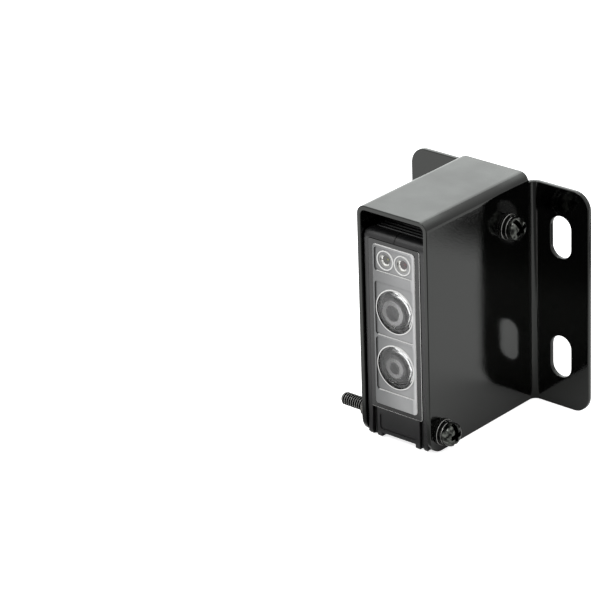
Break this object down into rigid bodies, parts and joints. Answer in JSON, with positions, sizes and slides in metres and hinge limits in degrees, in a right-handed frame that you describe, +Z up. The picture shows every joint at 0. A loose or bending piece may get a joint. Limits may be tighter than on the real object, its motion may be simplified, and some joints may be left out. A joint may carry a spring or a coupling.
{
  "type": "photoelectric sensor",
  "caption": "Retroreflective photoelectric sensor with round lenses behind a clear cover, clamped in a folded black sheet hood whose slotted flanges bolt to a wall.",
  "frame": {"origin": "On the level of the lower edge of the legs and flanges, on the middle plane, half way between the hood's front edge and its wall face.", "axes": "+X to the right seen from the front, +Y towards the wall behind, +Z up; the lenses look along -Y."},
  "size_m": [0.0666, 0.0516, 0.074],
  "materials": {
    "hood_paint": "gloss black powder coat",
    "case_plastic": "satin black moulding",
    "clear_cover": "clear moulded acrylic",
    "seal_rubber": "soft black",
    "optics_plastic": "dull black",
    "filter_film": "dark polarising film",
    "sensor_can": "plated can",
    "clear_lamp": "clear epoxy",
    "yellow_lamp": "tinted epoxy",
    "red_lamp": "tinted epoxy",
    "circuit_board": "green solder mask",
    "inner_steel": "zinc plated",
    "tin_plate": "tinned sheet",
    "pin_housing": "black nylon",
    "relay_case": "dark moulding",
    "capacitor_can": "sleeved can",
    "coil_copper": "enamelled wire",
    "varistor_dip": "blue epoxy dip",
    "chip_resin": "moulded resin",
    "connector_plastic": "pale nylon",
    "black_steel": "black oxide"
  },
  "bodies": {
    "root": {"hood_bracket": "hood_paint", "case": "case_plastic", "front_cover": "clear_cover", "cover_gasket": "seal_rubber", "optics_block": "optics_plastic", "receiver_filter": "filter_film", "emitter_filter": "filter_film", "receiver_diode": "sensor_can", "emitter_led": "clear_lamp", "yellow_indicator_led": "yellow_lamp", "red_indicator_led": "red_lamp", "optics_board": "circuit_board", "optics_screws": "inner_steel", "receiver_shield": "tin_plate", "main_board": "circuit_board", "board_link": "pin_housing", "relay": "relay_case", "capacitor": "capacitor_can", "choke_coil": "coil_copper", "varistor": "varistor_dip", "control_chip": "chip_resin", "wire_connector": "connector_plastic", "rear_gasket": "seal_rubber", "rear_cover": "case_plastic", "rear_cover_screws": "inner_steel", "cable_grommet": "seal_rubber", "clamp_screws": "black_steel", "flat_washers": "black_steel", "spring_washers": "black_steel", "hex_nuts": "black_steel"}
  },
  "joints": []
}
